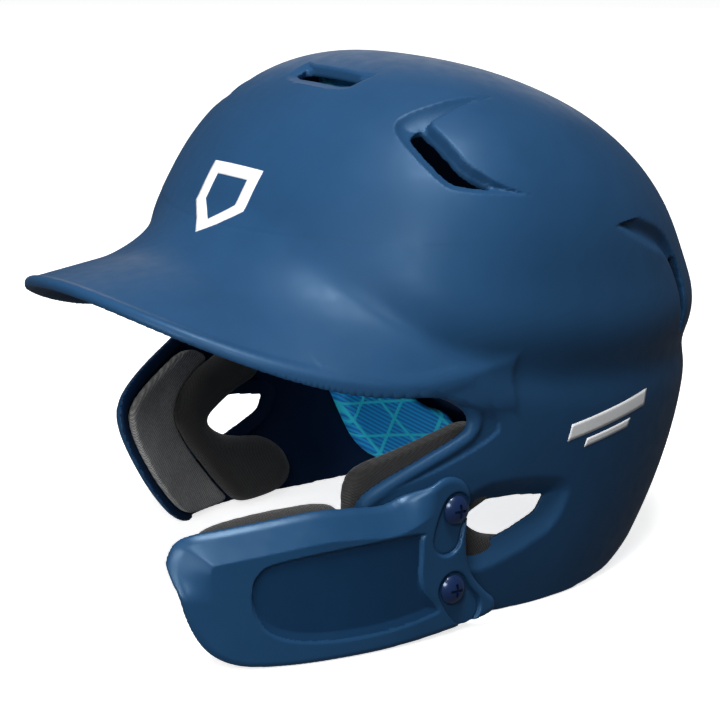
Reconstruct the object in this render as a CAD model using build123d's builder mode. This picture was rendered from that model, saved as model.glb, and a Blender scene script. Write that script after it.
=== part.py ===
# Batting helmet with a jaw guard on the wearer's left.
# Frame: millimetres, +Z up, the brim points to -Y, the wearer's left is +X.
# The helmet rests on its ear flaps at z = 0; the shell is symmetric about x = 0.
import math
import os

from build123d import *

os.makedirs("parts", exist_ok=True)

# ---- driving dimensions -------------------------------------------------
CROWN = 210.0          # height of the crown above the flap bottoms
HALF_WIDTH = 107.5     # half of the greatest width
WIDEST_Z = 111.0       # level of the greatest width
FOREHEAD = 102.0       # reach of the forehead in front of the ear line
REAR = 134.0           # reach of the back of the head behind the ear line
REAR_Z = 88.5          # level of the rearmost point
OVAL = 2.16            # fullness of the plan ovals (2 is an ellipse)
WALL = 3.2             # shell wall
GAP = 0.5              # air between a pad and what it lies on
PAD = 10.5             # thickness of the comfort pads
CUSHION = 14.5         # thickness of the ear cushions
BRIM_TIP = -155.0      # y of the brim's tip
BRIM_TIP_Z = 133.4     # top of the brim at its tip
BRIM_RISE = 0.119      # rise of the brim per mm towards the forehead
BRIM_ARCH = 142.7      # radius of the brim's arch
BRIM_HALF = 104.2      # half width of the brim where it meets the temples
BRIM_ROOT = -37.4      # y where the brim's edge runs into the temples
BRIM_OVAL = 2.17       # fullness of the brim's plan outline

# jaw guard: swings about a lateral axis through the middle of the ear hole
PIVOT = (-20.0, 33.0)  # (y, z) of that axis
SLOT_R = 32.5          # radius of both arc slots
SWING = 20.0           # travel of the guard, degrees
UPPER_ANGLE = 31.8     # upper screw, degrees above the forward direction
LOWER_ANGLE = -26.3    # lower screw
PLATE_IN = 101.3       # mount plate, inner face
PLATE_OUT = 103.5      # mount plate, outer face
GUARD_IN = 103.6       # guard, inner face at the bracket
GUARD_OUT = 106.4      # guard, outer face at the bracket
GUARD_BEND = 186.0     # radius of the guard's forward sweep
GUARD_STRAIGHT = -62.0  # the guard is flat behind this y
SCREW_R = 2.5          # screw shank
RUN = 0.05             # radial running clearance of the screws


def half_width(z):
    if z < WIDEST_Z:
        return HALF_WIDTH - 0.001 * (WIDEST_Z - z) ** 2
    t = (z - WIDEST_Z) / (CROWN - WIDEST_Z)
    return HALF_WIDTH * (1 - t ** 2.5) ** (1 / 2.7)


def front_reach(z):
    # below the brim the sides run further forward, into the cheek flaps
    if z < 118.0:
        return 96.0 + 46.0 * math.sin(math.pi * ((118.0 - z) / 118.0) ** 0.8)
    t = (z - 73.0) / (CROWN - 73.0)
    return FOREHEAD * (1 - t ** 1.93) ** (1 / 2.15)


def rear_reach(z):
    if z < REAR_Z:
        return REAR - 0.0048 * (REAR_Z - z) ** 2
    t = (z - REAR_Z) / (CROWN - REAR_Z)
    return REAR * (1 - t ** 2.28) ** (1 / 1.57)


def oval_point(z, inset, turn):
    c = math.cos(turn)
    s = math.sin(turn)
    reach = rear_reach(z) if s > 0 else front_reach(z)
    c = 0.0 if abs(c) < 1e-9 else c
    side = math.copysign(abs(c) ** (2 / OVAL), c)
    along = math.copysign(abs(s) ** (2 / OVAL), s)
    k = max(half_width(z) - inset, 2.0)
    m = max(reach - inset, 1.5)
    return (k * side, m * along)


def half_hull(inset):
    # the left half of the head form, stepped inwards by the inset
    with BuildPart() as half:
        for step in range(-1, 14):
            angle = math.radians(min(step * 6.8, 87.0))
            z = CROWN * math.sin(angle)
            drop = inset * (z / CROWN) ** 4
            with BuildSketch(Plane.XY.offset(z - drop)):
                with BuildLine():
                    pts = [oval_point(z, inset, math.pi * (1 + k / 12)) for k in range(24)]
                    Spline(*pts, periodic=True)
                make_face()
                with Locations((200, 0)):
                    Rectangle(400, 600, mode=Mode.INTERSECT)
        loft()
    return half.part


def hull(inset):
    half = half_hull(inset)
    with BuildPart() as whole:
        add(half)
        add(mirror(half, about=Plane.YZ))
    return whole.part


def side_block(points, x_low, x_high, smooth=False):
    # a side-view outline (y, z) run out along x
    with BuildPart() as block:
        with BuildSketch(Plane.YZ.offset(x_low)):
            with BuildLine():
                if smooth:
                    Spline(*points, periodic=True)
                else:
                    Polyline(*points, close=True)
            make_face()
        extrude(amount=x_high - x_low)
    return block.part


def on_slot(angle, radius=SLOT_R):
    a = math.radians(angle)
    return (PIVOT[0] - radius * math.cos(a), PIVOT[1] + radius * math.sin(a))


with BuildPart() as trimmed:
    add(half_hull(0.0))
    with Locations((100, 0, -50)):
        Box(300, 400, 100, mode=Mode.SUBTRACT)
outer = trimmed.part
inner = half_hull(WALL)
pad_back = hull(WALL + GAP)
pad_face = hull(WALL + GAP + PAD)
cushion_face = hull(WALL + GAP + CUSHION)
band_face = hull(WALL + GAP + 4.5)

upper_screw_at = on_slot(UPPER_ANGLE)
lower_screw_at = on_slot(LOWER_ANGLE)

# ---- shell --------------------------------------------------------------
# brim: an arched sheet that follows the rise, trimmed to its plan outline
root_z = BRIM_TIP_Z + BRIM_RISE * (-30.0 - BRIM_TIP)
brim_plane = Plane(origin=(0, -30.0, root_z), x_dir=(1, 0, 0), z_dir=(0, -1, -BRIM_RISE))


def arch_z(radius, x):
    return math.sqrt(radius ** 2 - x ** 2) - BRIM_ARCH


under = BRIM_ARCH - WALL
with BuildPart() as brim:
    with BuildSketch(brim_plane):
        with BuildLine():
            top_arc = ThreePointArc((-107, arch_z(BRIM_ARCH, 107)), (0, 0), (107, arch_z(BRIM_ARCH, 107)))
            low_arc = ThreePointArc((-107, arch_z(under, 107)), (0, -WALL), (107, arch_z(under, 107)))
            Line(top_arc @ 0, low_arc @ 0)
            Line(top_arc @ 1, low_arc @ 1)
        make_face()
    extrude(amount=160)
    with BuildSketch(Plane.XY.offset(60)):
        with BuildLine():
            edge = []
            for k in range(17):
                a = math.pi * k / 16
                ex = math.copysign(abs(math.cos(a)) ** (2 / BRIM_OVAL), math.cos(a))
                ey = math.sin(a) ** (2 / BRIM_OVAL)
                edge.append((BRIM_HALF * ex, BRIM_ROOT + (BRIM_TIP - BRIM_ROOT) * ey))
            rim_line = Spline(*edge)
            Line(rim_line @ 0, rim_line @ 1)
        make_face()
    extrude(amount=120, mode=Mode.INTERSECT)

with BuildPart() as half_brim:
    add(brim.part)
    with Locations((-100, -100, 100)):
        Box(200, 300, 300, mode=Mode.SUBTRACT)
    add(inner, mode=Mode.SUBTRACT)

# everything under the brim's arch, the part of the head form the face opening may cut
with BuildPart() as under_arch:
    with BuildSketch(Plane(origin=(0, 0, BRIM_TIP_Z - BRIM_RISE * BRIM_TIP),
                           x_dir=(1, 0, 0), z_dir=(0, -1, -BRIM_RISE))):
        with BuildLine():
            roof = ThreePointArc((-125, arch_z(under, 125)), (0, -WALL), (125, arch_z(under, 125)))
            Polyline(roof @ 0, (-125, -220), (125, -220), roof @ 1)
        make_face()
    extrude(amount=260)

# face opening: brim edge, temple notch, front of the ear flap, in side view
face_points = [
    (-300, 300), (-100, 300), (-100, 118), (-85, 105), (-70, 101.5), (-50, 97.4), (-39, 93.5),
    (-33, 90), (-29.5, 85), (-30.5, 80), (-35, 76.5), (-55, 68), (-70, 60.5), (-77.5, 56),
    (-80.5, 50.5), (-79, 40), (-70, 20), (-61, 7), (-55, 2), (-48, -1), (-48, -30), (-300, -30),
]
nape_points = [(-120, 0), (20, 0), (48, 3), (66, 8.5), (100, 11), (170, 12), (170, -30), (-120, -30)]
ear_points = [
    (-40.5, 40), (-36, 47.5), (-24, 53.5), (6, 54), (14.5, 52), (16.5, 46.5), (10.5, 35.5),
    (-18, 22), (-32, 21.5), (-38, 28),
]
side_vent = [(-29, 193.5), (-33.5, 191.5), (-37, 186), (-35.5, 176), (-30, 171.5), (-18, 169.5), (-27, 178.5)]
rear_vent = [(60, 140), (74, 135), (82, 120), (86, 101), (90, 101), (87, 121), (78, 138), (62, 143.5)]

with BuildPart() as face_cut:
    add(side_block(face_points, -150, 150))
    add(under_arch.part, mode=Mode.INTERSECT)

# left half of the shell, then its mirror image
with BuildPart() as half_shell:
    add(outer)
    add(inner, mode=Mode.SUBTRACT)
    add(face_cut.part, mode=Mode.SUBTRACT)
    add(half_brim.part)
    add(side_block(nape_points, -150, 150), mode=Mode.SUBTRACT)
    add(side_block(ear_points, 60, 150), mode=Mode.SUBTRACT)
    add(side_block(side_vent, 35, 150), mode=Mode.SUBTRACT)
    add(side_block(rear_vent, 60, 150), mode=Mode.SUBTRACT)
    # front air scoop on the crown
    with Locations((0, -35.5, 200)):
        Box(34, 7, 40, mode=Mode.SUBTRACT)
    # port at the nape
    with BuildSketch(Plane.XZ.offset(-60)):
        with BuildLine():
            Polyline((-72, 34), (72, 34), (54, 60), (-54, 60), close=True)
        make_face()
        fillet(vertices(), 7)
    extrude(amount=-100, mode=Mode.SUBTRACT)

with BuildPart() as shell:
    add(half_shell.part)
    add(mirror(half_shell.part, about=Plane.YZ))
    # screw holes in the left flap
    for hole_y, hole_z in (upper_screw_at, lower_screw_at):
        with Locations(Location((95, hole_y, hole_z), (0, 90, 0))):
            Cylinder(SCREW_R + RUN, 40, mode=Mode.SUBTRACT)
shell.part.label = "shell"
export_step(shell.part, "parts/shell.step")


# ---- guard, mount plate and fasteners -----------------------------------
def sweep_x(y, face):
    # plan line of the guard: flat at the bracket, then bending in towards the mouth
    run = max(GUARD_STRAIGHT - y, 0.0)
    radius = GUARD_BEND - (GUARD_OUT - face)
    return face - radius + math.sqrt(radius ** 2 - run ** 2)


def guard_band(in_face, out_face, y_front, y_back, z_low, z_high):
    # a wall that follows the guard's plan line between two faces
    with BuildPart() as band:
        with BuildSketch(Plane.XY.offset(z_low)):
            with BuildLine():
                fronts = []
                for face in (in_face, out_face):
                    run = GUARD_STRAIGHT - y_front
                    mid = GUARD_STRAIGHT - run / 2
                    a = (sweep_x(GUARD_STRAIGHT, face), GUARD_STRAIGHT)
                    b = (sweep_x(mid, face), mid)
                    c = (sweep_x(y_front, face), y_front)
                    ThreePointArc(a, b, c)
                    fronts.append((a, c))
                Line(fronts[0][1], fronts[1][1])
                Polyline(fronts[0][0], (in_face, y_back), (out_face, y_back), fronts[1][0])
            make_face()
        extrude(amount=z_high - z_low)
    return band.part


def arc_slot_outline(angle_top, half, travel=SWING):
    # closed outline of an arc slot with round ends, about the swing axis
    low = angle_top - travel
    mid = angle_top - travel / 2
    a_out = on_slot(angle_top, SLOT_R + half)
    a_in = on_slot(angle_top, SLOT_R - half)
    b_out = on_slot(low, SLOT_R + half)
    b_in = on_slot(low, SLOT_R - half)
    reach = math.degrees(half / SLOT_R)
    ThreePointArc(a_out, on_slot(mid, SLOT_R + half), b_out)
    ThreePointArc(b_out, on_slot(low - reach), b_in)
    ThreePointArc(b_in, on_slot(mid, SLOT_R - half), a_in)
    ThreePointArc(a_in, on_slot(angle_top + reach), a_out)


def slot_block(angle_top, half, x_low, x_high, top_half=None, travel=SWING):
    with BuildPart() as block:
        with BuildSketch(Plane.YZ.offset(x_low)):
            with BuildLine():
                arc_slot_outline(angle_top, half, travel)
            make_face()
        if top_half is None:
            extrude(amount=x_high - x_low)
        else:
            with BuildSketch(Plane.YZ.offset(x_high)):
                with BuildLine():
                    arc_slot_outline(angle_top, top_half, travel)
                make_face()
            loft(ruled=True)
    return block.part


# mount plate: a sector of ring behind both slots, on two bosses against the flap
with BuildPart() as mount_plate:
    add(slot_block(UPPER_ANGLE + 3, 6.4, PLATE_IN, PLATE_OUT, travel=81))
    for boss_y, boss_z in (upper_screw_at, lower_screw_at):
        with Locations(Location(((84 + PLATE_IN) / 2, boss_y, boss_z), (0, 90, 0))):
            Cylinder(6.0, PLATE_IN - 84)
    add(outer, mode=Mode.SUBTRACT)
    for boss_y, boss_z in (upper_screw_at, lower_screw_at):
        with Locations(Location((95, boss_y, boss_z), (0, 90, 0))):
            Cylinder(SCREW_R + RUN, 40, mode=Mode.SUBTRACT)
mount_plate.part.label = "mount_plate"
export_step(mount_plate.part, "parts/mount_plate.step")

# jaw guard: a curved wall trimmed to its side outline, with the two arc slots
guard_points = [
    (-157, 36), (-156, 44), (-151.5, 50.5), (-138, 53.5), (-108, 57), (-92, 56.5), (-76, 55.5),
    (-62, 60), (-52, 63.6), (-44, 61), (-40.5, 54), (-42, 44), (-42.2, 32), (-39.5, 23),
    (-33, 15), (-28, 10), (-30.5, 5), (-50, 2.5), (-75, 1), (-98, 0.5), (-122, 0.6), (-138, 2.5),
    (-148, 9), (-154, 21),
]
panel_points = [
    (-133, 30), (-131, 37), (-124, 41), (-100, 43.5), (-66, 44), (-64, 40), (-64, 24),
    (-56, 13), (-60, 10), (-85, 7.5), (-112, 8.5), (-126, 13), (-132, 21),
]
with BuildPart() as panel:
    add(guard_band(GUARD_OUT - 1.0, GUARD_OUT + 6.0, -140.0, -20.0, -5.0, 70.0))
    add(side_block(panel_points, 20, 130, smooth=True), mode=Mode.INTERSECT)

with BuildPart() as jaw_guard:
    add(guard_band(GUARD_IN, GUARD_OUT, -158.0, -20.0, -5.0, 70.0))
    add(side_block(guard_points, 20, 120, smooth=True), mode=Mode.INTERSECT)
    add(panel.part, mode=Mode.SUBTRACT)
    for top in (UPPER_ANGLE, LOWER_ANGLE):
        add(slot_block(top, 4.6, GUARD_IN - 5, GUARD_OUT + 5), mode=Mode.SUBTRACT)
        add(slot_block(top, 4.6, GUARD_OUT - 1.6, GUARD_OUT + 0.4, top_half=7.85), mode=Mode.SUBTRACT)
jaw_guard.part.label = "jaw_guard"
export_step(jaw_guard.part, "parts/jaw_guard.step")

# foam pad behind the guard, standing a little above its top edge
guard_pad_points = [
    (-150, 40), (-147, 50), (-140, 55), (-98, 60), (-92, 56), (-92, 20), (-97, 12), (-135, 11), (-145, 20),
]
with BuildPart() as pad_outline:
    with BuildSketch(Plane.YZ.offset(20)):
        with BuildLine():
            Polyline(*guard_pad_points, close=True)
        make_face()
        fillet(vertices(), 2.5)
    extrude(amount=100)

with BuildPart() as jaw_guard_pad:
    add(guard_band(GUARD_IN - 8.0, GUARD_IN - 0.1, -152.0, -50.0, -5.0, 70.0))
    add(pad_outline.part, mode=Mode.INTERSECT)
jaw_guard_pad.part.label = "jaw_guard_pad"
export_step(jaw_guard_pad.part, "parts/jaw_guard_pad.step")


def screw(at, tip_x):
    # oval-head machine screw with a cross recess, head outwards (+X)
    with BuildPart() as body:
        with BuildSketch(Plane.XZ):
            with BuildLine():
                Polyline((tip_x, 0), (tip_x, SCREW_R), (104.9, SCREW_R), (104.9, 4.5),
                         (105.75, 5.85), (106.15, 5.85))
                ThreePointArc((106.15, 5.85), (108.35, 3.1), (108.95, 0))
                Line((108.95, 0), (tip_x, 0))
            make_face()
        revolve(axis=Axis.X)
        with Locations((108.9, 0, 0)):
            Box(3.0, 5.6, 1.2, mode=Mode.SUBTRACT)
            Box(3.0, 1.2, 5.6, mode=Mode.SUBTRACT)
    return Pos(0, at[0], at[1]) * body.part


UPPER_TIP = 89.0
LOWER_TIP = 81.5
with BuildPart() as upper_screw:
    add(screw(upper_screw_at, UPPER_TIP))
upper_screw.part.label = "upper_screw"
export_step(upper_screw.part, "parts/upper_screw.step")
with BuildPart() as lower_screw:
    add(screw(lower_screw_at, LOWER_TIP))
lower_screw.part.label = "lower_screw"
export_step(lower_screw.part, "parts/lower_screw.step")


def insert(at, tip_x):
    # flanged nut seated on the inside of the flap
    with BuildPart() as body:
        with Locations(Location((tip_x + 10.0, at[0], at[1]), (0, 90, 0))):
            Cylinder(5.5, 20.0)
        add(inner, mode=Mode.INTERSECT)
        with Locations(Location((tip_x + 10.0, at[0], at[1]), (0, 90, 0))):
            Cylinder(SCREW_R + RUN, 60.0, mode=Mode.SUBTRACT)
    return body.part


with BuildPart() as upper_nut:
    add(insert(upper_screw_at, UPPER_TIP + 0.6))
upper_nut.part.label = "upper_nut"
export_step(upper_nut.part, "parts/upper_nut.step")
with BuildPart() as lower_nut:
    add(insert(lower_screw_at, LOWER_TIP + 0.6))
lower_nut.part.label = "lower_nut"
export_step(lower_nut.part, "parts/lower_nut.step")


# ---- soft lining --------------------------------------------------------
def lining(outline, inner_face):
    # the stretch between the shell's inside and a padded face, trimmed to an outline block
    with BuildPart() as pad:
        add(pad_back)
        add(inner_face, mode=Mode.SUBTRACT)
        add(outline, mode=Mode.INTERSECT)
    return pad.part


def save(part, name):
    part.label = name
    export_step(part, "parts/" + name + ".step")


band_outline = [
    (-37, 73.5), (-55, 65), (-70, 57.5), (-75, 53), (-76.5, 48), (-75, 39), (-66.5, 21),
    (-58, 9), (-52, 4.5), (-44, 2.5), (-22, 2.5), (-28, 9), (-37, 21), (-45, 33), (-49.5, 44),
    (-46, 53), (-36, 61.5), (-24, 66.5),
]
cushion_outline = [
    (-3, 72), (-14, 70.5), (-24, 67), (-36, 61.9), (-46.3, 52.6), (-49, 44), (-44.6, 33),
    (-36.6, 21.4), (-28, 10), (-20, 2.6), (-6, 2.2), (5, 5), (10, 12), (7.5, 21), (-1, 27.5),
    (-14, 29.5), (-26, 33), (-35, 40), (-36.5, 47), (-29, 54), (-16, 57), (-4, 57.5), (0, 64.5),
]


def nut_room(grow):
    with BuildPart() as room:
        for at in (upper_screw_at, lower_screw_at):
            with Locations(Location((87, at[0], at[1]), (0, 90, 0))):
                Cylinder(5.5 + grow, 30)
    return room.part


def flat_outline(points, radius, x_low, x_high):
    with BuildPart() as block:
        with BuildSketch(Plane.YZ.offset(x_low)):
            with BuildLine():
                Polyline(*points, close=True)
            make_face()
            fillet(vertices(), radius)
        extrude(amount=x_high - x_low)
    return block.part


left_band = lining(side_block(band_outline, 30, 130), band_face)
with BuildPart() as cushion_block:
    add(side_block(cushion_outline, 30, 130, smooth=True))
    add(side_block(band_outline, 20, 140), mode=Mode.SUBTRACT)
left_cushion = lining(cushion_block.part, cushion_face)
save(mirror(left_band, about=Plane.YZ), "right_ear_band")
save(mirror(left_cushion, about=Plane.YZ), "right_ear_cushion")
with BuildPart() as left_ear_band:
    add(left_band)
    add(nut_room(GAP), mode=Mode.SUBTRACT)
save(left_ear_band.part, "left_ear_band")
with BuildPart() as left_ear_cushion:
    add(left_cushion)
    add(nut_room(GAP), mode=Mode.SUBTRACT)
save(left_ear_cushion.part, "left_ear_cushion")

# temple pads
temple = lining(flat_outline([(-28, 104), (26, 104), (22, 146), (-20, 146)], 9, 40, 130), pad_face)
save(temple, "left_temple_pad")
save(mirror(temple, about=Plane.YZ), "right_temple_pad")

# rear wings, whose tails reach in under the nape port
wing_outline = [(50, 6.5), (37.5, 43), (25, 88), (31, 96), (52, 92), (62, 62), (67, 43), (76, 33), (83, 32), (83, 14)]
wing = lining(flat_outline(wing_outline, 3, 30, 130), pad_face)
save(wing, "left_rear_wing")
save(mirror(wing, about=Plane.YZ), "right_rear_wing")

# front, crown, rear and nape pads
with BuildPart() as front_block:
    with BuildSketch(Plane.XZ.offset(30)):
        with BuildLine():
            Polyline((-50, 126), (50, 126), (44, 160), (-44, 160), close=True)
        make_face()
        fillet(vertices(), 8)
    extrude(amount=100)
save(lining(front_block.part, pad_face), "front_pad")
with BuildPart() as crown_block:
    with BuildSketch(Plane.XY.offset(120)):
        with BuildLine():
            Polyline((-34, -18), (34, -18), (40, 10), (30, 46), (-30, 46), (-40, 10), close=True)
        make_face()
        fillet(vertices(), 9)
    extrude(amount=100)
save(lining(crown_block.part, pad_face), "crown_pad")
with BuildPart() as rear_block:
    with BuildSketch(Plane.XZ.offset(-50)):
        with BuildLine():
            Polyline((-46, 80), (46, 80), (38, 136), (-38, 136), close=True)
        make_face()
        fillet(vertices(), 9)
    extrude(amount=-100)
save(lining(rear_block.part, pad_face), "rear_pad")
with BuildPart() as nape_block:
    with BuildSketch(Plane.XZ.offset(-50)):
        with BuildLine():
            Polyline((-48, 16), (48, 16), (48, 31), (-48, 31), close=True)
        make_face()
        fillet(vertices(), 5)
    extrude(amount=-100)
save(lining(nape_block.part, pad_face), "nape_pad")
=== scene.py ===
# Batting helmet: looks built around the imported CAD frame. Lengths in the field code are
# millimetres; meshes are made in metres.
import math

import bpy
import numpy as np
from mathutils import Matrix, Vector
from mathutils.bvhtree import BVHTree


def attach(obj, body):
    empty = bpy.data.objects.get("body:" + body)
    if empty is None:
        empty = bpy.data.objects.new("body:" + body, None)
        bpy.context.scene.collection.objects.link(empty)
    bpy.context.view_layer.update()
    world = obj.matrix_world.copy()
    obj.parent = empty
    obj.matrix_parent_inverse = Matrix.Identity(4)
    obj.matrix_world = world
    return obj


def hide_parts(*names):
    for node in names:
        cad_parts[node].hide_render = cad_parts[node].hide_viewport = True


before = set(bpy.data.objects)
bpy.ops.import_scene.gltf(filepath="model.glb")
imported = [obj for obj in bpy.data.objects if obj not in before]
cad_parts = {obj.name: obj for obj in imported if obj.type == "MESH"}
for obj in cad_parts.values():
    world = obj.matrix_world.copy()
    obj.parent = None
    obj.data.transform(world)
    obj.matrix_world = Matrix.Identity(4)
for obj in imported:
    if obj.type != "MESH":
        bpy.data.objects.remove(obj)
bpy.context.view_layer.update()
MM = 0.001

# ---- dimensions shared with the CAD part ---------------------------------
CROWN, HALF_WIDTH, WIDEST_Z = 210.0, 107.5, 111.0
FOREHEAD, REAR, REAR_Z = 102.0, 134.0, 88.5
OVAL, WALL, GAP = 2.16, 3.2, 0.5
PAD, CUSHION = 10.5, 14.5
BRIM_TIP, BRIM_TIP_Z, BRIM_RISE, BRIM_ARCH = -155.0, 133.4, 0.119, 142.7
BRIM_HALF, BRIM_ROOT, BRIM_OVAL = 104.2, -37.4, 2.17
PIVOT = (-20.0, 33.0)
SLOT_R, SWING, UPPER_ANGLE, LOWER_ANGLE = 32.5, 20.0, 31.8, -26.3
GUARD_IN, GUARD_OUT, GUARD_BEND, GUARD_STRAIGHT = 103.6, 106.4, 186.0, -62.0


def half_width(z):
    t = np.clip((z - WIDEST_Z) / (CROWN - WIDEST_Z), 0, 0.9999)
    high = HALF_WIDTH * (1 - t ** 2.5) ** (1 / 2.7)
    return np.where(z < WIDEST_Z, HALF_WIDTH - 0.001 * (WIDEST_Z - z) ** 2, high)


def front_reach(z):
    u = np.clip((118.0 - z) / 118.0, 0, None)
    low = 96.0 + 46.0 * np.sin(math.pi * u ** 0.8)
    t = np.clip((z - 73.0) / (CROWN - 73.0), 0, 0.9999)
    return np.where(z < 118.0, low, FOREHEAD * (1 - t ** 1.93) ** (1 / 2.15))


def rear_reach(z):
    t = np.clip((z - REAR_Z) / (CROWN - REAR_Z), 0, 0.9999)
    high = REAR * (1 - t ** 2.28) ** (1 / 1.57)
    return np.where(z < REAR_Z, REAR - 0.0048 * (REAR_Z - z) ** 2, high)


# ---- field tools ----------------------------------------------------------
def smin(a, b, k):
    h = np.clip(0.5 + 0.5 * (b - a) / k, 0, 1)
    return b * (1 - h) + a * h - k * h * (1 - h)


def smax(a, b, k):
    return -smin(-a, -b, k)


def smooth(t, low, high):
    s = np.clip((t - low) / (high - low), 0, 1)
    return s * s * (3 - 2 * s)


def blur(values, sigma, axis):
    reach = int(3 * sigma) + 1
    taps = np.exp(-0.5 * (np.arange(-reach, reach + 1) / sigma) ** 2)
    taps /= taps.sum()
    pad = [(0, 0)] * values.ndim
    pad[axis] = (reach, reach)
    wide = np.pad(values, pad, mode="edge")
    n = values.shape[axis]
    return sum(w * np.take(wide, np.arange(k, k + n), axis=axis) for k, w in enumerate(taps))


def rounded(points, cuts=2, share=0.25):
    # closed outline with its corners cut again and again
    p = np.array(points, float)
    for _ in range(cuts):
        q = np.roll(p, -1, axis=0)
        p = np.stack([p * (1 - share) + q * share, p * share + q * (1 - share)], axis=1).reshape(-1, 2)
    return p


def outline_distance(a, b, points):
    # signed distance in a plane to a closed outline, negative inside
    a, b = np.broadcast_arrays(np.asarray(a, np.float32), np.asarray(b, np.float32))
    best = np.full(a.shape, 1e12, np.float32)
    inside = np.zeros(a.shape, bool)
    p = np.asarray(points, np.float32)
    q = np.roll(p, -1, axis=0)
    for (ax, ay), (bx, by) in zip(p, q):
        ex, ey = bx - ax, by - ay
        wx, wy = a - ax, b - ay
        t = np.clip((wx * ex + wy * ey) / (ex * ex + ey * ey + 1e-12), 0, 1)
        best = np.minimum(best, (wx - ex * t) ** 2 + (wy - ey * t) ** 2)
        if ay != by:
            inside ^= ((ay > b) != (by > b)) & (a < ex * (b - ay) / ey + ax)
    return np.where(inside, -1, 1) * np.sqrt(best)


def grid(low, high, step):
    axes = [np.arange(low[k], high[k] + step, step, dtype=np.float32) for k in range(3)]
    return axes, axes[0][:, None, None], axes[1][None, :, None], axes[2][None, None, :]


def surface(field, axes):
    """Closed quad mesh of a field's zero level: (points, quads, normals)."""
    inside = field < 0
    shape = tuple(n - 1 for n in field.shape)
    corners = [(i, j, k) for i in (0, 1) for j in (0, 1) for k in (0, 1)]

    def at(values, c):
        return values[c[0]:c[0] + shape[0], c[1]:c[1] + shape[1], c[2]:c[2] + shape[2]]

    count = np.zeros(shape, np.uint8)
    for c in corners:
        count += at(inside, c)
    active = (count > 0) & (count < 8)
    index = np.full(shape, -1, np.int32)
    ijk = np.nonzero(active)
    index[ijk] = np.arange(len(ijk[0]))
    value = {c: at(field, c)[ijk] for c in corners}
    total = np.zeros((len(ijk[0]), 3))
    hits = np.zeros(len(ijk[0]))
    normal = np.zeros((len(ijk[0]), 3))
    for c in corners:
        for axis in range(3):
            if c[axis]:
                continue
            d = list(c)
            d[axis] = 1
            fa, fb = value[c], value[tuple(d)]
            crossing = (fa < 0) != (fb < 0)
            t = np.where(crossing, fa / np.where(crossing, fa - fb, 1), 0)
            p = np.tile(np.array(c, float), (len(fa), 1))
            p[:, axis] += t
            total += p * crossing[:, None]
            hits += crossing
            normal[:, axis] += fb - fa
    spot = total / hits[:, None]
    step = float(axes[0][1] - axes[0][0])
    base = np.stack([axes[k][ijk[k]] for k in range(3)], axis=1)
    points = base + spot * step
    normal /= np.linalg.norm(normal, axis=1)[:, None] + 1e-12
    quads = []
    rings = (((0, -1, -1), (0, 0, -1), (0, 0, 0), (0, -1, 0)),
             ((-1, 0, -1), (-1, 0, 0), (0, 0, 0), (0, 0, -1)),
             ((-1, -1, 0), (0, -1, 0), (0, 0, 0), (-1, 0, 0)))
    for axis in range(3):
        low = [slice(None)] * 3
        high = [slice(None)] * 3
        low[axis] = slice(None, -1)
        high[axis] = slice(1, None)
        a, b = inside[tuple(low)], inside[tuple(high)]
        edge = np.stack(np.nonzero(a != b), axis=1)
        others = [k for k in range(3) if k != axis]
        ok = np.all(edge[:, others] > 0, axis=1)
        for k in others:
            ok &= edge[:, k] < shape[k]
        edge = edge[ok]
        ring = np.stack([index[tuple((edge + np.array(o)).T)] for o in rings[axis]], axis=1)
        outward = a[tuple(edge.T)]
        ring[~outward] = ring[~outward][:, ::-1]
        quads.append(ring)
    return points, np.concatenate(quads), normal


def make_mesh(name, points, faces, normals=None):
    mesh = bpy.data.meshes.new(name)
    faces = np.asarray(faces)
    n = faces.shape[1]
    mesh.vertices.add(len(points))
    mesh.vertices.foreach_set("co", (np.asarray(points) * MM).astype(np.float32).ravel())
    mesh.loops.add(faces.size)
    mesh.loops.foreach_set("vertex_index", faces.astype(np.int32).ravel())
    mesh.polygons.add(len(faces))
    mesh.polygons.foreach_set("loop_start", np.arange(0, faces.size, n, dtype=np.int32))
    mesh.update(calc_edges=True)
    mesh.validate()
    mesh.polygons.foreach_set("use_smooth", np.ones(len(mesh.polygons), bool))
    if normals is not None:
        mesh.normals_split_custom_set_from_vertices([tuple(v) for v in normals])
    piece = bpy.data.objects.new(name, mesh)
    bpy.context.scene.collection.objects.link(piece)
    return piece


def solid(name, field, axes):
    points, quads, normals = surface(field, axes)
    return make_mesh(name, points, quads, normals)


# ---- the head form ---------------------------------------------------------
LEVELS = np.arange(-30.0, 210.5, 0.5)
WIDTH_AT = half_width(LEVELS)
FRONT_AT = blur(front_reach(LEVELS), 14, 0)
FRONT_AT = np.where(LEVELS > 150, front_reach(LEVELS), FRONT_AT)
REAR_AT = rear_reach(LEVELS)
TOP_X = np.arange(0.0, 116.0, 1.0)
TOP_Y = np.arange(-180.0, 146.0, 1.0)


def gauge_terms(x, y, z):
    w = np.interp(z, LEVELS, WIDTH_AT)
    f = np.interp(z, LEVELS, FRONT_AT)
    r = np.interp(z, LEVELS, REAR_AT)
    return (np.abs(x) / w) ** OVAL, np.where(y > 0, np.abs(y) / r, np.abs(y) / f) ** OVAL


def top_height():
    # height of the dome over each plan point, softened over the crown
    low = np.full((len(TOP_X), len(TOP_Y)), 60.0)
    high = np.full_like(low, 209.99)
    x, y = TOP_X[:, None], TOP_Y[None, :]
    for _ in range(30):
        mid = (low + high) / 2
        gx, gy = gauge_terms(x, y, mid)
        inside = gx + gy < 1
        low = np.where(inside, mid, low)
        high = np.where(inside, high, mid)
    whole = np.concatenate([low[:0:-1], low])
    soft = blur(blur(whole, 7, 0), 7, 1)[len(TOP_X) - 1:]
    return low + (soft - low) * smooth(low, 185, 200)


TOP = top_height()


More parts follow.
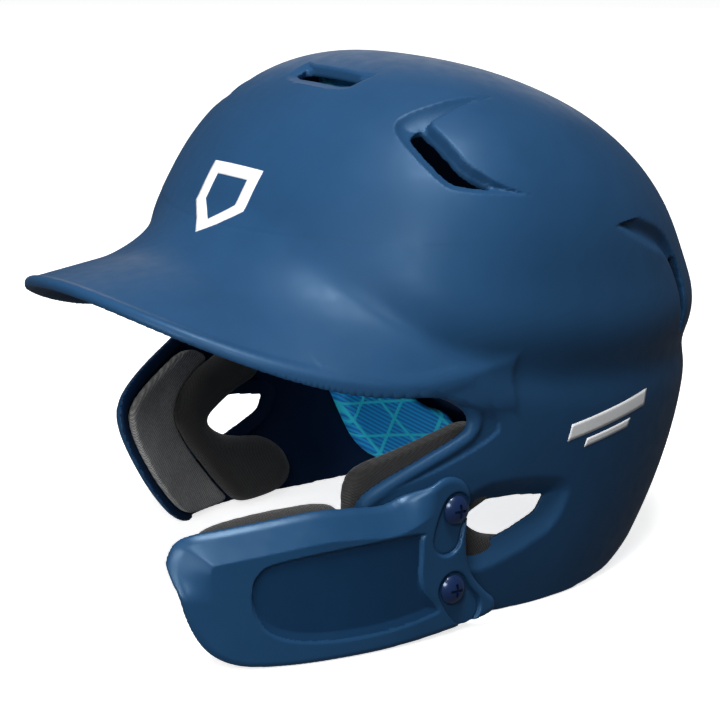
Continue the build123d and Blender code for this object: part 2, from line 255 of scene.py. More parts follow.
def bilinear(table, xs, ys, x, y):
    u = np.clip(x - xs[0], 0, len(xs) - 1.001)
    v = np.clip(y - ys[0], 0, len(ys) - 1.001)
    i, j = u.astype(int), v.astype(int)
    s, t = u - i, v - j
    return ((table[i, j] * (1 - s) + table[i + 1, j] * s) * (1 - t)
            + (table[i, j + 1] * (1 - s) + table[i + 1, j + 1] * s) * t)


def head_distance(axes):
    """Distance to the outside of the head form on a grid, negative inside."""
    x, y, z = [a.astype(np.float64) for a in axes]
    w = np.interp(z, LEVELS, WIDTH_AT)
    f = np.interp(z, LEVELS, FRONT_AT)
    r = np.interp(z, LEVELS, REAR_AT)
    gx = (np.abs(x)[:, None] / w[None, :]) ** OVAL
    gy = np.where(y[:, None] > 0, np.abs(y)[:, None] / r[None, :], np.abs(y)[:, None] / f[None, :]) ** OVAL
    g = ((gx[:, None, :] + gy[None, :, :]).astype(np.float32)) ** np.float32(1 / OVAL)
    step = float(x[1] - x[0])
    slope = np.zeros_like(g)
    for k in range(3):
        slope += np.gradient(g, step, axis=k) ** 2
    side = (g - 1) / np.sqrt(slope + 1e-12)
    if z[-1] < 168:
        return side
    top = bilinear(TOP, TOP_X, TOP_Y, np.abs(x)[:, None] + 0 * y[None, :], y[None, :] + 0 * x[:, None])
    tx, ty = np.gradient(top, step)
    lean = np.sqrt(1 + tx ** 2 + ty ** 2)
    above = ((z[None, None, :] - top[:, :, None]) / lean[:, :, None]).astype(np.float32)
    share = smooth(z, 168, 188)[None, None, :].astype(np.float32)
    return side * (1 - share) + above * share


# ---- shell -------------------------------------------------------------------
FACE = [(-300, 300), (-100, 300), (-100, 118), (-85, 105), (-70, 100.5), (-55, 95.8), (-46, 91.8),
        (-40, 87.5), (-37.5, 83), (-39, 78.8), (-44, 75.8), (-57, 69.5), (-70, 62.5), (-77.5, 57),
        (-80.5, 50.5), (-79, 40), (-70, 20), (-61, 7), (-55, 2), (-48, -1), (-48, -30), (-300, -30)]
FACE_STEP = [(-300, 300), (-104, 300), (-104, 113), (-90, 107.5), (-70, 102), (-50, 95.6), (-29, 84),
             (-25.5, 80), (-27.5, 75.5), (-52, 65.1), (-72, 58), (-84, 50), (-84, -30), (-300, -30)]
RIM = [(-200, 0), (-120, 0), (0, 0), (20, 0.3), (48, 3), (66, 8.5), (100, 11), (170, 12),
       (170, -60), (-200, -60)]
EAR = [(-40.5, 40), (-38, 47), (-29, 51.5), (-14, 51.5), (5, 48.5), (7.5, 46), (2.5, 36),
       (-12, 30), (-28, 24.5), (-35, 25.5), (-39.5, 32)]
# vents lie in their own flat coordinates: along y, and down the side of the dome
VENT_OPEN = [(-33, 0), (-36, 2.2), (-37, 5.8), (-36, 16.5), (-34.5, 24), (-31, 30), (-18, 37),
             (-26.5, 25), (-28.5, 13), (-29.5, 0.2)]
VENT_PLATEAU = [(60, -12), (-3, -3.5), (-14, -2.4), (-22.6, -0.8), (-29.2, 0.2), (-28.5, 13), (-26.2, 25.4),
                (-17, 37), (0, 46), (60, 60)]
VENT_RECESS = [(30, -6), (12, -2.5), (4, -3.8), (-11, -7), (-23, -7.5), (-32, -8.5), (-38, -7.5), (-41, -2),
               (-41.5, 8), (-40, 19), (-37, 29), (-32.5, 33.5), (-22, 39), (-4, 43.5), (20, 46)]
REAR_OPEN = [(80, 126), (83, 118), (86, 101), (90, 101), (87.5, 119), (83, 130)]
REAR_RECESS = [(12, 166), (35, 158), (57, 149), (72, 143), (82, 134), (89, 118), (92, 96), (84, 96),
               (81, 118), (74, 131), (57, 138), (35, 150)]


SCOOP_OPEN = [(-18, -33), (18, -33), (19, -25.8), (-19, -25.8)]
SCOOP_PLATEAU = [(-19.5, -26), (19.5, -26), (34, -8), (40, 40), (-40, 40), (-34, -8)]
SCOOP_RECESS = [(-20, -39), (20, -39), (23, -27), (22, -19), (-22, -19), (-23, -27)]


def vent_plane(x, z):
    return 0.824 * (x - 62.5) - 0.567 * (z - 191.0)


def brim_height(x, y):
    x = np.clip(np.abs(x), 0, 125)
    fall = np.sqrt(BRIM_ARCH ** 2 - x ** 2)
    lean = 1 / np.sqrt(1 + BRIM_RISE ** 2 + (x / fall) ** 2)
    return BRIM_TIP_Z + BRIM_RISE * (y - BRIM_TIP) + fall - BRIM_ARCH, lean


def brim_edge(x, y):
    # distance in plan to the brim's outline
    def gauge(side, back):
        run = np.clip(BRIM_ROOT - back, 0, None) / (BRIM_ROOT - BRIM_TIP)
        return ((side / BRIM_HALF) ** BRIM_OVAL + run ** BRIM_OVAL) ** (1 / BRIM_OVAL)

    step = 0.5
    side = np.abs(x)
    g = gauge(side, y)
    slope = np.sqrt((gauge(side + step, y) - g) ** 2 + (gauge(side, y - step) - g) ** 2) / step
    return np.maximum((g - 1) / np.maximum(slope, 0.004), y + 22.0)


def crease_level(y):
    ys = np.arange(-180.0, 160.0)
    level = np.interp(ys, [-91, -69, -45, -26, 2, 37, 59, 134], [134, 120, 107, 101, 95.6, 91, 89.5, 87])
    return np.interp(y, ys, blur(level, 8, 0))


def shell_field(step):
    axes, x, y, z = grid((0.0, -176.0, -3.0), (112.0, 138.0, 213.0), step)
    y2, z2 = axes[1][:, None], axes[2][None, :]
    head = head_distance(axes)
    plain = head.copy()

    # soft crease between the dome and the belt
    level = crease_level(axes[1])[:, None]
    rise = z2 - level
    crease = 2.1 * np.exp(-(rise / 8.5) ** 2) - 2.3 * np.exp(-((rise - 20) / 14) ** 2)
    crease = crease * smooth(y2, -82, -45)
    step_line = outline_distance(y2, z2, rounded(FACE_STEP, 2))
    crease = crease + 0.9 * smooth(-step_line, -0.4, 0.6) * smooth(-z2, -116, -108)
    head += crease[None].astype(np.float32)

    # vents: a scooped dip that runs in under a raised plateau
    dip = np.zeros_like(head)
    roof = np.full_like(head, 50)
    i = np.searchsorted(axes[0], 30)
    k = np.searchsorted(axes[2], 150)
    v = vent_plane(x[i:], z[:, :, k:])
    u = y + 0 * v
    recess = outline_distance(u, v, rounded(VENT_RECESS, 2))
    dip[i:, :, k:] = 5.4 * (1 - np.exp(-np.clip(-recess, 0, None) / 6.0))
    roof[i:, :, k:] = outline_distance(u, v, rounded(VENT_PLATEAU, 1, 0.2))
    opening = outline_distance(u, v, rounded(VENT_OPEN, 1, 0.2))
    # front scoop
    k2 = np.searchsorted(axes[2], 180)
    i2 = np.searchsorted(axes[0], 50)
    xx = x[:i2] + 0 * y
    yy = y + 0 * x[:i2]
    scoop_recess = outline_distance(xx, yy, rounded(SCOOP_RECESS, 2))
    scoop_dip = 2.4 * (1 - np.exp(-np.clip(-scoop_recess, 0, None) / 4.5))
    dip[:i2, :, k2:] = np.maximum(dip[:i2, :, k2:], scoop_dip)
    roof[:i2, :, k2:] = np.minimum(roof[:i2, :, k2:], outline_distance(xx, yy, rounded(SCOOP_PLATEAU, 1, 0.12)))
    scoop = outline_distance(xx, yy, rounded(SCOOP_OPEN, 1, 0.1))
    # rear vent
    j = np.searchsorted(axes[1], 5)
    rear_recess = outline_distance(y2[j:], z2, rounded(REAR_RECESS, 2))
    rear_depth = 3.0 * smooth(-rear_recess, -0.3, 4.5)
    dip[i:, j:, :] += rear_depth[None].astype(np.float32)
    rear_open = outline_distance(y2[j:], z2, rounded(REAR_OPEN, 1))
    head = np.where(dip > 0, smax(head, -np.maximum(-head - dip, -roof), 0.6), head)

    # brim, filleted into the forehead
    top, lean = brim_height(x, y)
    over = (z - top) * lean
    plan = brim_edge(x, y) * np.ones_like(z)
    sheet = smax(smax(over, plan.astype(np.float32), 1.0), -(over + 7.5), 2.0)
    k_fillet = 6 + 18 * smooth(-y, 45, 100) * np.ones_like(z)
    outside = smin(head, sheet, k_fillet.astype(np.float32))

    # what the face opening takes away
    face = outline_distance(y2, z2, rounded(FACE, 2))[None].astype(np.float32)
    under = over + WALL
    cut = smax(face, under, 5.0)
    field = smax(outside, -cut, 1.1)
    # the hollow follows the dips, and runs at full height under the plateaus
    thin = plain + 0.75 * np.clip(crease, 0, None)[None].astype(np.float32)
    hollow = np.minimum(thin + dip + WALL, np.maximum(thin + WALL, roof + 3.5))
    field = smax(field, -hollow, 0.9)
    rim = outline_distance(y2, z2, RIM)[None].astype(np.float32)
    field = smax(field, -rim, 1.0)

    # collar inside the ear hole, then the hole with its chamfer
    ear = outline_distance(y2, z2, rounded(EAR, 2, 0.2))[None].astype(np.float32)
    side = x > 50
    deep = -plain
    collar = np.maximum(np.maximum(ear - 3.4, deep - 7.0), 0.5 - deep)
    collar = np.where(side, collar, 50)
    field = smin(field, collar, 1.2)
    bevel = (ear - 5.0 + 1.5 * deep) / 1.8
    hole = np.minimum(ear + 3.6 * smooth(deep, 1.5, 5.0), bevel)
    field = smax(field, -np.where(side, hole, 50), 0.7)

    # vents cut through
    block = field[i:, :, k:]
    block[:] = smax(block, -opening, 0.6)
    field[:i2, :, k2:] = smax(field[:i2, :, k2:], -scoop, 0.6)
    block = field[i:, j:, :]
    block[:] = smax(block, -rear_open[None].astype(np.float32), 0.5)
    # port at the nape, seen from behind
    x3, z3 = axes[0][:, None], axes[2][None, :]
    port = outline_distance(x3, z3, rounded([(-72, 34), (72, 34), (54, 60), (-54, 60)], 2, 0.12))
    j2 = np.searchsorted(axes[1], 60)
    block = field[:, j2:, :]
    block[:] = smax(block, -port[:, None, :], 1.0)

    # rolled bead along the brim and round the face opening
    middle = over + WALL / 2
    bead = np.sqrt((plan + 1.7) ** 2 + middle ** 2) - 2.15
    bead = np.where(y < -38, bead, 50)
    field = smin(field, bead.astype(np.float32), 1.0)
    low = np.where((z2 < 104) & (y2 > -90), face[0], 50)[None]
    bead = np.sqrt((low - 2.3) ** 2 + (plain + 2.5) ** 2) - 2.8
    bead = np.maximum(bead, -z)
    field = smin(field, bead.astype(np.float32), 1.0)
    return axes, field


def mirrored(axes, field):
    xs = np.concatenate([-axes[0][:0:-1], axes[0]])
    return [xs, axes[1], axes[2]], np.concatenate([field[:0:-1], field])


def curve_through(points, per=6):
    # closed Catmull-Rom line through the points
    p = np.array(points, float)
    a, b, c, d = np.roll(p, 1, 0), p, np.roll(p, -1, 0), np.roll(p, -2, 0)
    t = (np.arange(per) / per)[None, :, None]
    a, b, c, d = (q[:, None, :] for q in (a, b, c, d))
    line = 0.5 * (2 * b + (c - a) * t + (2 * a - 5 * b + 4 * c - d) * t ** 2
                  + (3 * b - a - 3 * c + d) * t ** 3)
    return line.reshape(-1, 2)


# ---- jaw guard ------------------------------------------------------------------
GUARD = [(-157, 36), (-156, 44), (-151.5, 50.5), (-138, 53.5), (-108, 57), (-92, 56.5), (-76, 55.5),
         (-62, 60), (-52, 63.6), (-44, 61), (-40.5, 54), (-42, 44), (-42.2, 32), (-39.5, 23),
         (-33, 15), (-28, 10), (-30.5, 5), (-50, 2.5), (-75, 1), (-98, 0.5), (-122, 0.6), (-138, 2.5),
         (-148, 9), (-154, 21)]
PANEL = [(-133, 30), (-131, 37), (-124, 41), (-100, 43.5), (-66, 44), (-64, 40), (-64, 24),
         (-56, 13), (-60, 10), (-85, 7.5), (-112, 8.5), (-126, 13), (-132, 21)]
GUARD_PAD = [(-150, 38), (-147, 48), (-140, 53.5), (-118, 57.5), (-98, 58.5), (-92, 55),
             (-92, 20), (-97, 12), (-135, 11), (-145, 20)]


def guard_distance(x, y):
    # distance outwards from the guard's outer face
    run = np.clip(GUARD_STRAIGHT - y, 0, None)
    bent = np.sqrt((x - GUARD_OUT + GUARD_BEND) ** 2 + run ** 2) - GUARD_BEND
    return np.where(y > GUARD_STRAIGHT, x - GUARD_OUT, bent)


def slot_distance(y, z, top):
    # distance in side view to the middle line of an arc slot
    dy, dz = PIVOT[0] - y, z - PIVOT[1]
    angle = np.degrees(np.arctan2(dz, dy))
    near = np.clip(angle, top - SWING, top)
    r = np.radians(near)
    return np.sqrt((dy - SLOT_R * np.cos(r)) ** 2 + (dz - SLOT_R * np.sin(r)) ** 2)


def guard_lean(edge, y2, z2):
    # the top edge leans in as a broad flat bevel
    return 7.0 * np.clip((edge + 10.0) / 10.0, 0, 1.2) * smooth(z2, 28, 44)[None] * smooth(-y2, 57, 70)[None]


def guard_field(step):
    axes, x, y, z = grid((55.0, -162.0, -2.0), (110.0, -20.0, 70.0), step)
    y2, z2 = axes[1][:, None], axes[2][None, :]
    edge = outline_distance(y2, z2, curve_through(GUARD))[None]
    out = guard_distance(x, y) + guard_lean(edge, y2, z2)
    thick = GUARD_OUT - GUARD_IN
    panel = outline_distance(y2, z2, curve_through(PANEL))[None]
    wide = smooth(-z2, -30, -12)[None]
    face = out + 1.4 * np.clip((0.3 - panel) / (1.2 + 3.0 * wide), 0, 1)
    field = smax(np.maximum(face, -(out + thick)), edge, 1.0)
    field = smax(field, (edge + 1.6 * out + 1.5) / 1.89, 0.5)
    for top in (UPPER_ANGLE, LOWER_ANGLE):
        # recess round the screw with a closed floor; the CAD guard has a through slot here
        pill = slot_distance(y2, z2, top)[None]
        dish = np.maximum((pill - 7.3 - 0.5 * out) / 1.12, -(out + 1.3))
        groove = np.sqrt((pill - 6.5) ** 2 + (out + 1.2) ** 2) - 0.5
        field = smax(field, -np.minimum(dish, groove), 0.25)
    return axes, field.astype(np.float32)


def guard_pad_field(step):
    axes, x, y, z = grid((45.0, -156.0, 5.0), (110.0, -84.0, 66.0), step)
    y2, z2 = axes[1][:, None], axes[2][None, :]
    lean = guard_lean(outline_distance(y2, z2, curve_through(GUARD))[None], y2, z2)
    out = guard_distance(x, y) + lean
    edge = outline_distance(y2, z2, rounded(GUARD_PAD, 2))[None]
    slab = np.maximum(out + 2.9, -(out + 10.6))
    return axes, smax(slab, edge, 4.0).astype(np.float32)


# ---- lining ------------------------------------------------------------------------
BAND = [(-37, 73.5), (-55, 65), (-70, 57.5), (-75, 53), (-76.5, 48), (-75, 39), (-66.5, 21),
        (-58, 9), (-52, 4.5), (-44, 2.5), (-22, 2.5), (-28, 9), (-37, 21), (-45, 33), (-49.5, 44),
        (-46, 53), (-36, 61.5), (-24, 66.5)]
NEAR_BAND = [(-30, 78.5), (-36, 81.5), (-50, 76.5), (-64, 71.5), (-79, 66), (-81, 55), (-77, 39), (-66.5, 21),
             (-58, 9), (-52, 4.5), (-44, 2.5), (-22, 2.5), (-28, 9), (-37, 21), (-45, 33), (-49.5, 44),
             (-46, 53), (-36, 61.5), (-27, 70)]
CUSHION_RING = [(-3, 72), (-14, 70.5), (-24, 67), (-36, 61.9), (-46.3, 52.6), (-49, 44), (-44.6, 33),
                (-36.6, 21.4), (-28, 10), (-20, 2.6), (-6, 2.2), (5, 5), (10, 12), (7.5, 21), (-1, 27.5),
                (-14, 30), (-23, 32.5), (-30, 37), (-32.5, 41.5), (-27, 45.5), (-16, 51), (-4, 56), (0, 64.5)]
TEMPLE = [(-28, 104), (26, 104), (22, 146), (-20, 146)]
WING = [(50, 6.5), (37.5, 43), (25, 88), (31, 96), (52, 92), (62, 62), (67, 43), (76, 33), (83, 32), (83, 14)]
FRONT = [(-50, 126), (50, 126), (44, 160), (-44, 160)]
CROWN_PAD = [(-34, -18), (34, -18), (40, 10), (30, 46), (-30, 46), (-40, 10)]
REAR_BLOCK = [(-46, 80), (46, 80), (38, 136), (-38, 136)]
NAPE = [(-48, 16), (48, 16), (48, 31), (-48, 31)]


def pad_field(low, high, step, outline, plane, thick, soft, puff=0.0):
    axes, x, y, z = grid(low, high, step)
    deep = -head_distance(axes)
    near = WALL + GAP
    a, b = {"yz": (1, 2), "xz": (0, 2), "xy": (0, 1)}[plane]
    shape = [1, 1, 1]
    shape[a], shape[b] = len(axes[a]), len(axes[b])
    edge = outline_distance(axes[a][:, None], axes[b][None, :], outline)
    crown = puff * (1 - np.exp(np.clip(edge, None, 0) / 9.0)) - puff
    edge, crown = edge.reshape(shape), crown.reshape(shape)
    slab = np.maximum(near - deep, deep - near - thick - crown)
    return axes, smax(slab, edge, soft).astype(np.float32)


# ---- materials -----------------------------------------------------------------------
def material(name, rgb, rough, **sockets):
    m = bpy.data.materials.new(name)
    m.use_nodes = True
    shader = m.node_tree.nodes["Principled BSDF"]
    shader.inputs["Base Color"].default_value = (*rgb, 1)
    shader.inputs["Roughness"].default_value = rough
    for key, value in sockets.items():
        shader.inputs[key.replace("_", " ")].default_value = value
    return m, m.node_tree, shader


def node(tree, kind, **inputs):
    n = tree.nodes.new(kind)
    for key, value in inputs.items():
        n.inputs[key.replace("_", " ")].default_value = value
    return n


def position(tree, turn=(0, 0, 0)):
    where = tree.nodes.new("ShaderNodeTexCoord")
    turned = tree.nodes.new("ShaderNodeMapping")
    turned.inputs["Rotation"].default_value = turn
    tree.links.new(where.outputs["Object"], turned.inputs["Vector"])
    return turned.outputs["Vector"]


def ramp(tree, value, stops):
    r = tree.nodes.new("ShaderNodeValToRGB")
    band = r.color_ramp
    while len(band.elements) < len(stops):
        band.elements.new(0.5)
    for element, (spot, rgb) in zip(band.elements, stops):
        element.position = spot
        element.color = (*rgb, 1) if len(rgb) == 3 else rgb
    tree.links.new(value, r.inputs["Fac"])
    return r.outputs["Color"]


def bumps(tree, shader, layers):
    # layers: (height output, strength, distance in mm)
    last = None
    for height, strength, distance in layers:
        b = node(tree, "ShaderNodeBump", Strength=strength, Distance=distance * MM)
        tree.links.new(height, b.inputs["Height"])
        if last is not None:
            tree.links.new(last, b.inputs["Normal"])
        last = b.outputs["Normal"]
    tree.links.new(last, shader.inputs["Normal"])


def noise(tree, vector, scale, detail=2.0, roughness=0.5):
    n = node(tree, "ShaderNodeTexNoise", Scale=scale, Detail=detail, Roughness=roughness)
    tree.links.new(vector, n.inputs["Vector"])
    return n.outputs["Fac"]


def moulded(name, rgb, rough, grain=0.12, coat=0.0, gloss=0.3):
    # satin painted plastic: fine grain, faint mottling, slightly uneven gloss
    m, tree, shader = material(name, rgb, rough, Specular_IOR_Level=gloss, Specular_Tint=(0.5, 0.75, 1.0, 1.0))
    shader.inputs["Coat Weight"].default_value = coat
    shader.inputs["Coat Roughness"].default_value = 0.25
    at = position(tree)
    fine = noise(tree, at, 2600, 3)
    broad = noise(tree, at, 24, 4, 0.6)
    dark, light = [tuple(c * k for c in rgb) for k in (0.93, 1.08)]
    tree.links.new(ramp(tree, broad, [(0.3, dark), (0.7, light)]), shader.inputs["Base Color"])
    spread = node(tree, "ShaderNodeMapRange", From_Min=0.3, From_Max=0.7,
                  To_Min=rough - 0.04, To_Max=rough + 0.05)
    tree.links.new(noise(tree, at, 150, 3), spread.inputs["Value"])
    tree.links.new(spread.outputs["Result"], shader.inputs["Roughness"])
    bumps(tree, shader, [(fine, grain, 0.12), (noise(tree, at, 420, 2), 0.05, 0.2)])
    return m


def wave(tree, vector, pitch, axis):
    # sine bands across one axis, with their pitch in mm
    w = node(tree, "ShaderNodeTexWave", Scale=2 * math.pi / (pitch * MM) / 20)
    w.bands_direction = axis
    tree.links.new(vector, w.inputs["Vector"])
    return w.outputs["Fac"]


def mixed(tree, a, b, mode="MULTIPLY"):
    m = tree.nodes.new("ShaderNodeMath")
    m.operation = mode
    tree.links.new(a, m.inputs[0])
    tree.links.new(b, m.inputs[1])
    return m.outputs[0]


def knit(name, rgb, pitch=0.9, turn=0.5, light=1.9):
    # ribbed knit: two crossed sets of fine ribs with fuzz
    m, tree, shader = material(name, rgb, 0.85, Sheen_Weight=0.35, Sheen_Roughness=0.5)
    a = wave(tree, position(tree, turn=(turn, 0, 0)), pitch, "Y")
    b = wave(tree, position(tree, turn=(turn, 0, 0)), pitch * 0.7, "Z")
    both = mixed(tree, a, b, "ADD")
    fuzz = noise(tree, position(tree), 900, 5, 0.7)
    patch = noise(tree, position(tree), 45, 3)
    tone = mixed(tree, mixed(tree, both, fuzz, "MULTIPLY"), patch, "MULTIPLY")
    high = tuple(min(1.0, c * light + 0.004) for c in rgb)
    low = tuple(c * 0.45 for c in rgb)
    tree.links.new(ramp(tree, tone, [(0.1, low), (0.5, high)]), shader.inputs["Base Color"])
    bumps(tree, shader, [(both, 0.5, 0.25), (fuzz, 0.35, 0.3)])
    return m


LATTICE_PITCH, HATCH_PITCH = 15, 1.7


def lattice(name):
    # cyan fabric: fine diagonal hatch under a triangular lattice of bright lines
    m, tree, shader = material(name, (0.01, 0.3, 0.6), 0.7, Sheen_Weight=0.08)
    lines = None
    for turn in (0, math.pi / 3, -math.pi / 3):
        w = wave(tree, position(tree, turn=(turn, 0, 0)), LATTICE_PITCH, "Z")
        edge = node(tree, "ShaderNodeMapRange", From_Min=0.975, From_Max=0.993)
        tree.links.new(w, edge.inputs["Value"])
        out = edge.outputs["Result"]
        lines = out if lines is None else mixed(tree, lines, out, "MAXIMUM")
    hatch = wave(tree, position(tree, turn=(0.6, 0, 0)), HATCH_PITCH, "Z")
    base = ramp(tree, hatch, [(0.35, (0.0, 0.2, 0.7)), (0.65, (0.0, 0.46, 1.0))])
    mix = tree.nodes.new("ShaderNodeMix")
    mix.data_type = "RGBA"
    tree.links.new(lines, mix.inputs[0])
    tree.links.new(base, mix.inputs[6])
    mix.inputs[7].default_value = (0.02, 0.72, 1.0, 1)
    tree.links.new(mix.outputs[2], shader.inputs["Base Color"])
    fuzz = noise(tree, position(tree), 1200, 4, 0.7)
    bumps(tree, shader, [(lines, 0.4, 0.4), (hatch, 0.3, 0.15), (fuzz, 0.25, 0.2)])
    return m


NAVY = (0.0155, 0.06, 0.142)
SHELL_BLUE = moulded("shell_blue", NAVY, 0.42)
GUARD_BLUE = moulded("guard_blue", (0.013, 0.056, 0.135), 0.33, 0.2, 0.0, 0.5)
# darker copy of the guard blue for the recessed panel: painted shade for the dark reflections in its face
PANEL_SHADE_BLUE = moulded("panel_painted_shade", (0.006, 0.032, 0.085), 0.38, 0.2, 0.0, 0.4)
INNER_BLUE = moulded("inner_navy", (0.004, 0.016, 0.05), 0.6, 0.25, 0.0, 0.2)
SCREW_BLUE = moulded("screw_blue", (0.006, 0.018, 0.07), 0.16, 0.02, 0.6, 0.6)
BLACK_KNIT = knit("cushion_black", (0.006, 0.006, 0.0063), 0.8)
# the far ear band's knit is a lighter grey copy of the black band knit: painted light, for the light falling on
# the far flap
FAR_BAND_LIT_KNIT = knit("band_grey_painted_light", (0.24, 0.24, 0.24), 1.0, 0.9)
NEAR_KNIT = knit("band_black", (0.014, 0.014, 0.015), 1.0, 0.9)
CYAN = lattice("lining_cyan")
WHITE = moulded("mark_white", (0.86, 0.87, 0.88), 0.45)

# spacing of the field grids in mm
STEP = 1.0


def dress(piece, mat, body, slot, *nodes):
    piece.data.materials.append(mat)
    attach(piece, body)
    if nodes:
        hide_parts(*nodes)
    return piece


shell_axes, shell_values = mirrored(*shell_field(STEP))
shell = dress(solid("shell_skin", shell_values, shell_axes), SHELL_BLUE, "helmet", "shell_blue", "shell")
shell.data.materials.append(INNER_BLUE)


def faces_of(piece):
    # centres in mm and normals of the piece's faces
    mesh = piece.data
    n = len(mesh.polygons)
    centre, facing = np.zeros(n * 3, np.float32), np.zeros(n * 3, np.float32)
    mesh.polygons.foreach_get("center", centre)
    mesh.polygons.foreach_get("normal", facing)
    return centre.reshape(-1, 3) / MM, facing.reshape(-1, 3)


def second_material(piece, chosen):
    piece.data.polygons.foreach_set("material_index", chosen.astype(np.int32))


# faces that look into the head cavity are darker
centre, facing = faces_of(shell)
w = np.interp(centre[:, 2], LEVELS, WIDTH_AT)
r = np.where(centre[:, 1] > 0, np.interp(centre[:, 2], LEVELS, REAR_AT),
             np.interp(centre[:, 2], LEVELS, FRONT_AT))
inward = -(centre[:, 0] * facing[:, 0] / w ** 2 + centre[:, 1] * facing[:, 1] / r ** 2
           + (centre[:, 2] - 90) * facing[:, 2] / 120 ** 2)
gauge = (np.abs(centre[:, 0]) / w) ** OVAL + (np.abs(centre[:, 1]) / r) ** OVAL
second_material(shell, (inward > 0.0015) & ((gauge < 0.955) | (centre[:, 2] > 150)))

# the guard's recessed panel is darker as well: painted shade, standing in for the dark reflections in its
# glossy face
guard_axes, guard_values = guard_field(STEP * 0.6)
guard = dress(solid("guard_wall", guard_values, guard_axes), GUARD_BLUE, "guard", "guard_blue", "jaw_guard")
guard.data.materials.append(PANEL_SHADE_BLUE)
centre, facing = faces_of(guard)
in_panel = outline_distance(centre[:, 1], centre[:, 2], curve_through(PANEL)) < -1.0
second_material(guard, in_panel & (facing[:, 0] > 0))
axes_, values_ = guard_pad_field(STEP)
dress(solid("guard_foam", values_, axes_), BLACK_KNIT, "guard", "pad_black", "jaw_guard_pad")

for side, sign in (("left", 1), ("right", -1)):
    def side_pad(name, spec, mat, slot, cad):
        axes, values = pad_field(*spec)
        if sign < 0:
            axes = [-axes[0][::-1], axes[1], axes[2]]
            values = values[::-1]
        piece = dress(solid(side + name, values, axes), mat, "helmet", slot, side + cad)
        return piece

    band = NEAR_BAND if sign > 0 else BAND
    thick = 9.0 if sign > 0 else 5.5
    # the far side's band takes the lighter grey knit, which is painted light; the near band stays black
    side_pad("_band", ((50, -84, -2), (112, -14, 86), STEP, rounded(band, 2), "yz", thick, 2.6),
             NEAR_KNIT if sign > 0 else FAR_BAND_LIT_KNIT, "pad_knit", "_ear_band")
    side_pad("_cushion",
             ((45, -56, -4), (112, 18, 80), STEP, curve_through(CUSHION_RING), "yz", CUSHION, 7.0, 2.0),
             BLACK_KNIT, "pad_black", "_ear_cushion")
    side_pad("_temple", ((50, -34, 98), (112, 32, 152), STEP, rounded(TEMPLE, 3), "yz", PAD, 6.0),
             CYAN, "pad_cyan", "_temple_pad")
    side_pad("_wing", ((20, 18, 0), (112, 90, 102), STEP, rounded(WING, 3), "yz", PAD, 4.0),
             CYAN, "pad_cyan", "_rear_wing")

for name, cad, spec in (
        ("front_lining", "front_pad",
         ((-60, -105, 118), (60, -30, 168), STEP, rounded(FRONT, 3), "xz", PAD, 5.0)),
        ("crown_lining", "crown_pad",
         ((-48, -26, 150), (48, 54, 212), STEP, rounded(CROWN_PAD, 3), "xy", PAD, 5.0)),
        ("rear_lining", "rear_pad",
         ((-56, 50, 72), (56, 136, 142), STEP, rounded(REAR_BLOCK, 3), "xz", PAD, 5.0)),
        ("nape_lining", "nape_pad",
         ((-56, 50, 8), (56, 136, 38), STEP, rounded(NAPE, 3), "xz", PAD, 3.0))):
    axes_, values_ = pad_field(*spec)
    dress(solid(name, values_, axes_), CYAN, "helmet", "pad_cyan", cad)

shell_tree = BVHTree.FromPolygons([v.co for v in shell.data.vertices],
                                  [p.vertices for p in shell.data.polygons])


def mark(name, quads, centre, out, across, ring_shaped=False):
    """Thin paint patches laid on the shell: quads are corner lists in mm on a plane seen from outside."""
    out, across = Vector(out).normalized(), Vector(across)
    across = (across - out * across.dot(out)).normalized()
    up = out.cross(across)
    centre = Vector(centre) * MM
    points, faces = [], []
    for quad in quads:
        a, b, c, d = (np.array(p, float) for p in quad)
        cols = max(2, int(np.linalg.norm(b - a) / 1.2))
        rows = max(2, int(np.linalg.norm(d - a) / 1.2))
        for lift in (0.18, -0.5):
            first = len(points)
            for i in range(rows + 1):
                for j in range(cols + 1):
                    s, t = j / cols, i / rows
                    p = (a * (1 - s) + b * s) * (1 - t) + (d * (1 - s) + c * s) * t
                    start = centre + across * (p[0] * MM) + up * (p[1] * MM) + out * 0.05
                    hit, normal, _, _ = shell_tree.ray_cast(start, -out)
                    points.append(np.array(hit + normal * lift * MM) / MM)
            for i in range(rows):
                for j in range(cols):
                    k = first + i * (cols + 1) + j
                    ring = [k, k + 1, k + cols + 2, k + cols + 1]
                    faces.append(ring if lift > 0 else ring[::-1])
            if lift < 0:
                ring = ([j for j in range(cols)] + [i * (cols + 1) + cols for i in range(rows)]
                        + [rows * (cols + 1) + j for j in range(cols, 0, -1)]
                        + [i * (cols + 1) for i in range(rows, 0, -1)])
                size = (rows + 1) * (cols + 1)
                sides = cols, cols + rows, cols + rows + cols
                for m in range(len(ring)):
                    if ring_shaped and (sides[0] <= m < sides[1] or m >= sides[2]):
                        continue
                    p, q = ring[m], ring[(m + 1) % len(ring)]
                    top = first - size
                    faces.append([top + p, first + p, first + q, top + q])
    return dress(make_mesh(name, points, faces), WHITE, "helmet", "shell_blue")


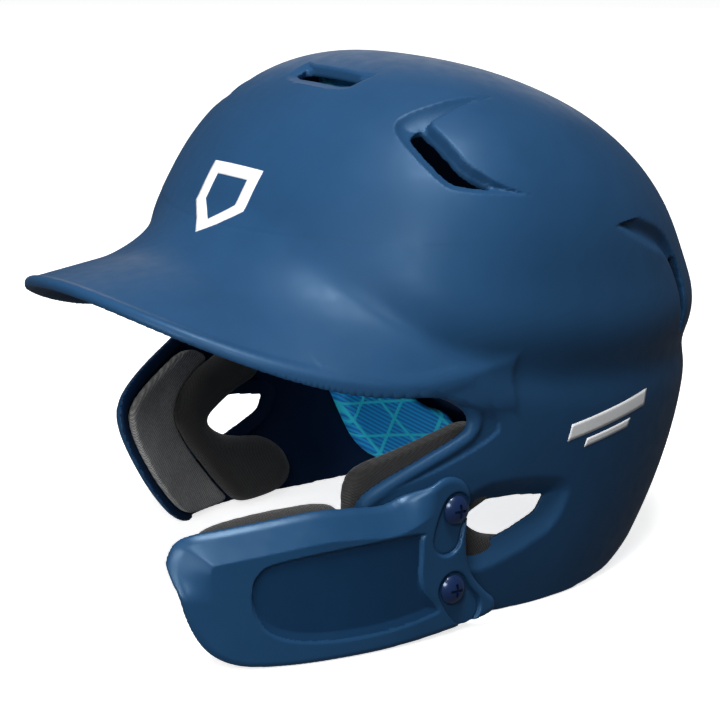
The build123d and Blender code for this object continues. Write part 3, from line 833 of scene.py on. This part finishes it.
# generic marks: a plain home-plate outline on the forehead, two bars on the side
PLATE = [(-17, 13), (17, 13), (17, -5), (0, -19), (-17, -5)]
INNER = [(x * 0.62, (y - 0.6) * 0.62) for x, y in PLATE]
mark("front_mark", [[PLATE[k], PLATE[(k + 1) % 5], INNER[(k + 1) % 5], INNER[k]][::-1] for k in range(5)],
     (-3, -88, 166), (0.0, -0.8, 0.55), (1, 0, 0), True)
for side, sign in (("left", 1), ("right", -1)):
    lean = 2.6
    bars = [[(-24, -3.4), (24, -3.4), (24 + lean, 3.0), (-24 + lean, 3.0)],
            [(-15, -8.6), (12, -8.6), (12 + lean * 0.7, -5.4), (-15 + lean * 0.7, -5.4)]]
    bars = [[(p[0] * sign, p[1]) for p in bar][::sign] for bar in bars]
    mark(side + "_mark", bars, (106 * sign, 32, 74), (sign, 0.12, 0), (0, sign, 0.12))

for name, mat in (("mount_plate", GUARD_BLUE), ("upper_screw", SCREW_BLUE), ("lower_screw", SCREW_BLUE),
                  ("upper_nut", SCREW_BLUE), ("lower_nut", SCREW_BLUE)):
    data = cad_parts[name].data
    data.materials.clear()
    data.materials.append(mat)

# ---- stage, lights, camera -------------------------------------------------------------
def plain_sheet(name, corners, mat):
    mesh = bpy.data.meshes.new(name)
    mesh.from_pydata(corners, [], [(0, 1, 2, 3)])
    mesh.materials.append(mat)
    piece = bpy.data.objects.new(name, mesh)
    bpy.context.scene.collection.objects.link(piece)
    return piece


pale, _, pale_shader = material("floor_pale", (0.9, 0.9, 0.9), 0.9)
pale_shader.inputs["Emission Color"].default_value = (1, 1, 1, 1)
pale_shader.inputs["Emission Strength"].default_value = 0.75
floor = plain_sheet("floor", [(-6, -6, 0), (6, -6, 0), (6, 6, 0), (-6, 6, 0)], pale)
# the floor shows pale but throws no light back on the helmet
floor.visible_diffuse = False
floor.visible_glossy = False


def area_light(name, spot, aim, size, power):
    data = bpy.data.lights.new(name, "AREA")
    data.shape = "DISK"
    data.size = size
    data.energy = power
    lamp = bpy.data.objects.new(name, data)
    lamp.location = spot
    lamp.rotation_mode = "QUATERNION"
    lamp.rotation_quaternion = (Vector(aim) - Vector(spot)).to_track_quat("-Z", "Y")
    bpy.context.scene.collection.objects.link(lamp)


area_light("key", (0.2, -1.5, 1.0), (0, 0, 0.12), 0.8, 2)
area_light("side", (1.1, -1.15, 0.95), (0, 0, 0.12), 0.6, 11)
area_light("fill", (-1.4, 1.2, 0.7), (0, 0, 0.12), 1.2, 2.5)
area_light("low", (0.2, -1.5, 0.14), (0, 0.05, 0.05), 0.5, 8)
area_light("top", (0.45, -0.35, 1.75), (0, -0.02, 0.1), 0.8, 32)
world = bpy.data.worlds.new("studio")
world.use_nodes = True
world.node_tree.nodes["Background"].inputs["Color"].default_value = (0.93, 0.96, 1, 1)
world.node_tree.nodes["Background"].inputs["Strength"].default_value = 0.1
bpy.context.scene.world = world
bpy.context.scene.view_settings.view_transform = "Standard"

aim = Vector((0, -0.014, 0.083))
turn, lift, away = math.radians(53), math.radians(14), 1.1
back = Vector((math.sin(turn) * math.cos(lift), -math.cos(turn) * math.cos(lift), math.sin(lift)))
camera = bpy.data.objects.new("camera", bpy.data.cameras.new("camera"))
camera.data.lens, camera.data.sensor_width = 132, 36
camera.data.clip_start, camera.data.clip_end = 0.05, 50
camera.location = aim + back * away
camera.rotation_mode = "QUATERNION"
camera.rotation_quaternion = (-back).to_track_quat("-Z", "Y")
bpy.context.scene.collection.objects.link(camera)
bpy.context.scene.camera = camera
